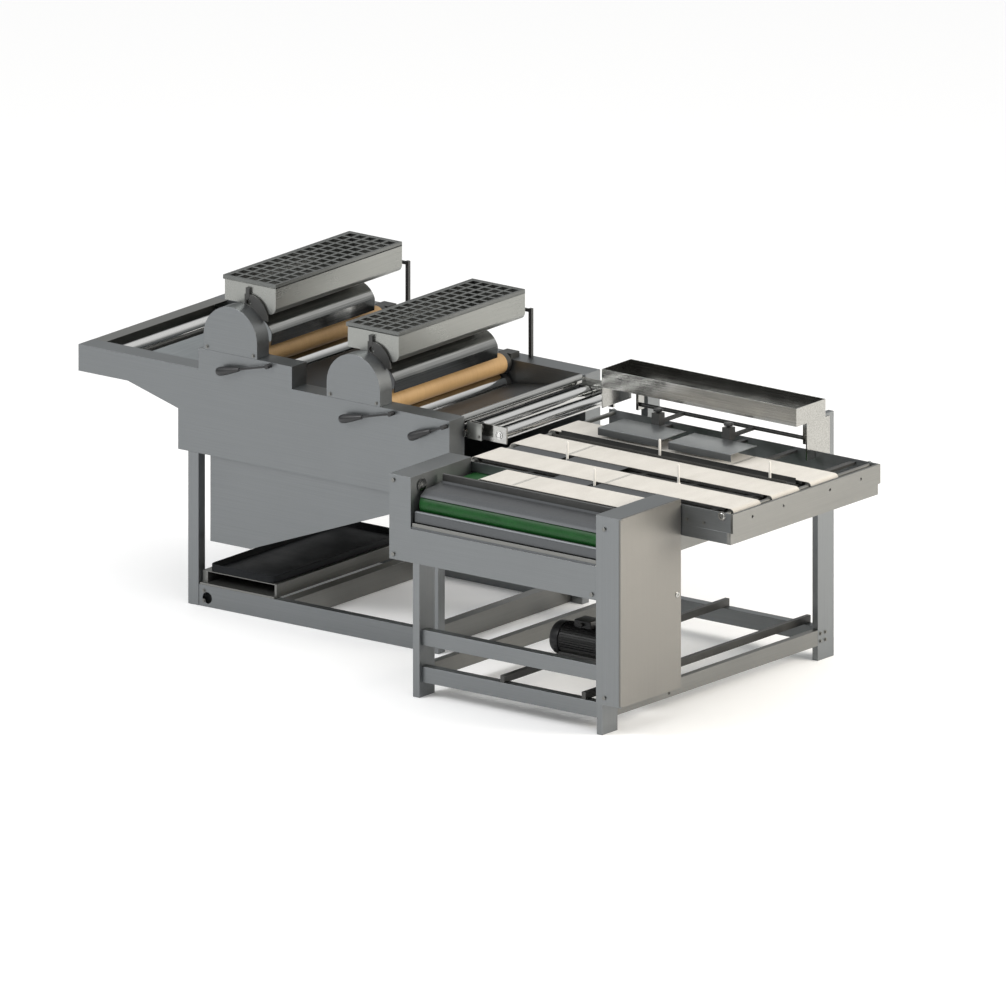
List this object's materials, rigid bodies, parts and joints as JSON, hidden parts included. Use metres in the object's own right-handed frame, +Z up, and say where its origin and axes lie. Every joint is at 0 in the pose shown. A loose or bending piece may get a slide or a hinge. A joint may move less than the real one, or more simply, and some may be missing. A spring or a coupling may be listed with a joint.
{
  "type": "dough sheeter",
  "caption": "Stainless dough sheeting line: two roller heads with flour hoppers and lidded dusters on a side-frame bed, feeding a strip-belt table with a cross belt.",
  "frame": {"origin": "on the floor under the middle of the machine's footprint", "axes": "+X downstream along the dough's path, +Y towards the far side, +Z up"},
  "size_m": [3.266, 1.489, 1.2974],
  "materials": {
    "satin_steel": "satin",
    "polished_steel": "polished",
    "beige_steel": "satin",
    "black_plastic": "matte",
    "grey_belt": "matte",
    "cream_belt": "matte",
    "green_belting": "satin",
    "tan_sleeve": "matte",
    "dark_metal": "satin",
    "white_plastic": "satin"
  },
  "bodies": {
    "frame": {"near_side_panel": "satin_steel", "far_side_panel": "satin_steel", "infeed_end_panel": "satin_steel", "belly_cover": "satin_steel", "main_legs": "satin_steel", "base_rails": "satin_steel", "cross_rails": "satin_steel", "infeed_belt": "grey_belt", "discharge_decks": "satin_steel", "transfer_frame": "satin_steel", "gear_covers": "satin_steel", "hoppers": "polished_steel", "hanger_brackets": "dark_metal", "scrapers": "satin_steel", "table_front_panel": "satin_steel", "drive_cabinet": "satin_steel", "table_legs": "satin_steel", "table_rails": "satin_steel", "table_cross_rails": "satin_steel", "drive_motor": "dark_metal", "table_side_plates": "satin_steel", "end_plate": "satin_steel", "strip_belts": "cream_belt", "belt_beds": "dark_metal", "green_belt": "green_belting", "catch_tray": "satin_steel", "trough": "dark_metal", "guide_pins": "white_plastic", "bolts": "satin_steel"},
    "tray": {"crumb_tray": "black_plastic"},
    "idler": {"infeed_idler": "polished_steel"},
    "tail_roller": {"infeed_tail_roller": "polished_steel"},
    "drive_roller": {"infeed_drive_roller": "polished_steel"},
    "transfer_1": {"transfer_roller_1": "polished_steel"},
    "transfer_2": {"transfer_roller_2": "polished_steel"},
    "deck_handle": {"deck_lever": "polished_steel", "lever_grip_3": "black_plastic"},
    "door": {"cabinet_door": "beige_steel"},
    "strip_drive": {"belt_drive_shaft": "polished_steel"},
    "strip_nose": {"nose_shaft": "polished_steel"},
    "green_front": {"green_front_roller": "polished_steel"},
    "green_rear": {"green_rear_roller": "polished_steel"},
    "guides": {"guide_rod": "dark_metal", "side_guides": "satin_steel"},
    "carriage_1": {"bearing_carriage_1": "dark_metal"},
    "upper_1": {"upper_roller_1": "tan_sleeve"},
    "lower_1": {"lower_roller_1": "polished_steel"},
    "guard_1": {"roller_guard_1": "polished_steel"},
    "lid_1": {"grille_lid_1": "dark_metal"},
    "duster_1": {"duster_roller_1": "dark_metal"},
    "gap_handle_1": {"gap_lever_1": "polished_steel", "lever_grip_1": "black_plastic"},
    "carriage_2": {"bearing_carriage_2": "dark_metal"},
    "upper_2": {"upper_roller_2": "tan_sleeve"},
    "lower_2": {"lower_roller_2": "polished_steel"},
    "guard_2": {"roller_guard_2": "polished_steel"},
    "lid_2": {"grille_lid_2": "dark_metal"},
    "duster_2": {"duster_roller_2": "dark_metal"},
    "gap_handle_2": {"gap_lever_2": "polished_steel", "lever_grip_2": "black_plastic"}
  },
  "joints": [
    {"name": "tray_slide", "type": "slide", "parent": "frame", "child": "tray", "axis": [0, -1, 0], "range_m": [0, 0.6]},
    {"name": "idler_spin", "type": "hinge", "parent": "frame", "child": "idler", "pos_m": [-1.507, 0.2745, 0.899], "axis": [0, 1, 0], "continuous": true},
    {"name": "infeed_drive_spin", "type": "hinge", "parent": "frame", "child": "drive_roller", "pos_m": [-1.071, 0.2745, 0.886], "axis": [0, 1, 0], "continuous": true},
    {"name": "infeed_tail_spin", "type": "hinge", "parent": "frame", "child": "tail_roller", "pos_m": [-1.353, 0.2745, 0.886], "axis": [0, 1, 0], "continuous": true},
    {"name": "lower_roller_spin_1", "type": "hinge", "parent": "frame", "child": "lower_1", "pos_m": [-0.832, 0.2745, 0.918], "axis": [0, 1, 0], "continuous": true},
    {"name": "roller_lift_1", "type": "slide", "parent": "frame", "child": "carriage_1", "axis": [0, 0, 1], "range_m": [0, 0.012]},
    {"name": "upper_roller_spin_1", "type": "hinge", "parent": "carriage_1", "child": "upper_1", "pos_m": [-0.832, 0.2745, 1.001], "axis": [0, 1, 0], "continuous": true},
    {"name": "gap_lever_turn_1", "type": "hinge", "parent": "frame", "child": "gap_handle_1", "pos_m": [-0.712, -0.2095, 1.003], "axis": [0, 1, 0], "range_deg": [0, 46]},
    {"name": "guard_turn_1", "type": "hinge", "parent": "frame", "child": "guard_1", "pos_m": [-0.869, 0.2745, 1.062], "axis": [0, -1, 0], "range_deg": [0, 55]},
    {"name": "lid_hinge_1", "type": "hinge", "parent": "frame", "child": "lid_1", "pos_m": [-0.994, 0.2745, 1.2852], "axis": [0, -1, 0], "range_deg": [0, 100]},
    {"name": "duster_spin_1", "type": "hinge", "parent": "frame", "child": "duster_1", "pos_m": [-0.867, 0.2745, 1.212], "axis": [0, 1, 0], "continuous": true},
    {"name": "lower_roller_spin_2", "type": "hinge", "parent": "frame", "child": "lower_2", "pos_m": [-0.242, 0.2745, 0.83], "axis": [0, 1, 0], "continuous": true},
    {"name": "roller_lift_2", "type": "slide", "parent": "frame", "child": "carriage_2", "axis": [0, 0, 1], "range_m": [0, 0.012]},
    {"name": "upper_roller_spin_2", "type": "hinge", "parent": "carriage_2", "child": "upper_2", "pos_m": [-0.242, 0.2745, 0.913], "axis": [0, 1, 0], "continuous": true},
    {"name": "gap_lever_turn_2", "type": "hinge", "parent": "frame", "child": "gap_handle_2", "pos_m": [-0.122, -0.2095, 0.915], "axis": [0, 1, 0], "range_deg": [0, 46]},
    {"name": "guard_turn_2", "type": "hinge", "parent": "frame", "child": "guard_2", "pos_m": [-0.279, 0.2745, 0.974], "axis": [0, -1, 0], "range_deg": [0, 55]},
    {"name": "lid_hinge_2", "type": "hinge", "parent": "frame", "child": "lid_2", "pos_m": [-0.404, 0.2745, 1.1972], "axis": [0, -1, 0], "range_deg": [0, 100]},
    {"name": "duster_spin_2", "type": "hinge", "parent": "frame", "child": "duster_2", "pos_m": [-0.277, 0.2745, 1.124], "axis": [0, 1, 0], "continuous": true},
    {"name": "deck_lever_turn", "type": "hinge", "parent": "frame", "child": "deck_handle", "pos_m": [0.131, -0.2095, 0.905], "axis": [0, 1, 0], "range_deg": [0, 40]},
    {"name": "transfer_spin_1", "type": "hinge", "parent": "frame", "child": "transfer_1", "pos_m": [0.193, 0.2745, 0.88], "axis": [0, 1, 0], "continuous": true},
    {"name": "transfer_spin_2", "type": "hinge", "parent": "frame", "child": "transfer_2", "pos_m": [0.283, 0.2745, 0.866], "axis": [0, 1, 0], "continuous": true},
    {"name": "strip_drive_spin", "type": "hinge", "parent": "frame", "child": "strip_drive", "pos_m": [0.355, 0.1005, 0.83], "axis": [0, 1, 0], "continuous": true},
    {"name": "strip_nose_spin", "type": "hinge", "parent": "frame", "child": "strip_nose", "pos_m": [1.58, 0.1005, 0.83], "axis": [0, 1, 0], "continuous": true},
    {"name": "green_front_spin", "type": "hinge", "parent": "frame", "child": "green_front", "pos_m": [0.823, -0.6505, 0.748], "axis": [1, 0, 0], "continuous": true},
    {"name": "green_rear_spin", "type": "hinge", "parent": "frame", "child": "green_rear", "pos_m": [0.823, 0.3645, 0.748], "axis": [1, 0, 0], "continuous": true},
    {"name": "door_hinge", "type": "hinge", "parent": "frame", "child": "door", "pos_m": [1.3825, -0.735, 0.494], "axis": [0, 0, -1], "range_deg": [0, 110]},
    {"name": "guide_lift", "type": "hinge", "parent": "frame", "child": "guides", "pos_m": [0.883, 0.5345, 0.894], "axis": [-1, 0, 0], "range_deg": [0, 25]}
  ],
  "couplings": [
    {"joint": "infeed_tail_spin", "follows": "infeed_drive_spin", "ratio": 1},
    {"joint": "upper_roller_spin_1", "follows": "lower_roller_spin_1", "ratio": -1},
    {"joint": "gap_lever_turn_1", "follows": "roller_lift_1", "rad_per_m": 65.45},
    {"joint": "duster_spin_1", "follows": "lower_roller_spin_1", "ratio": -0.5},
    {"joint": "upper_roller_spin_2", "follows": "lower_roller_spin_2", "ratio": -1},
    {"joint": "gap_lever_turn_2", "follows": "roller_lift_2", "rad_per_m": 65.45},
    {"joint": "duster_spin_2", "follows": "lower_roller_spin_2", "ratio": -0.5},
    {"joint": "transfer_spin_2", "follows": "transfer_spin_1", "ratio": 1},
    {"joint": "strip_nose_spin", "follows": "strip_drive_spin", "ratio": 1},
    {"joint": "green_rear_spin", "follows": "green_front_spin", "ratio": 1}
  ]
}
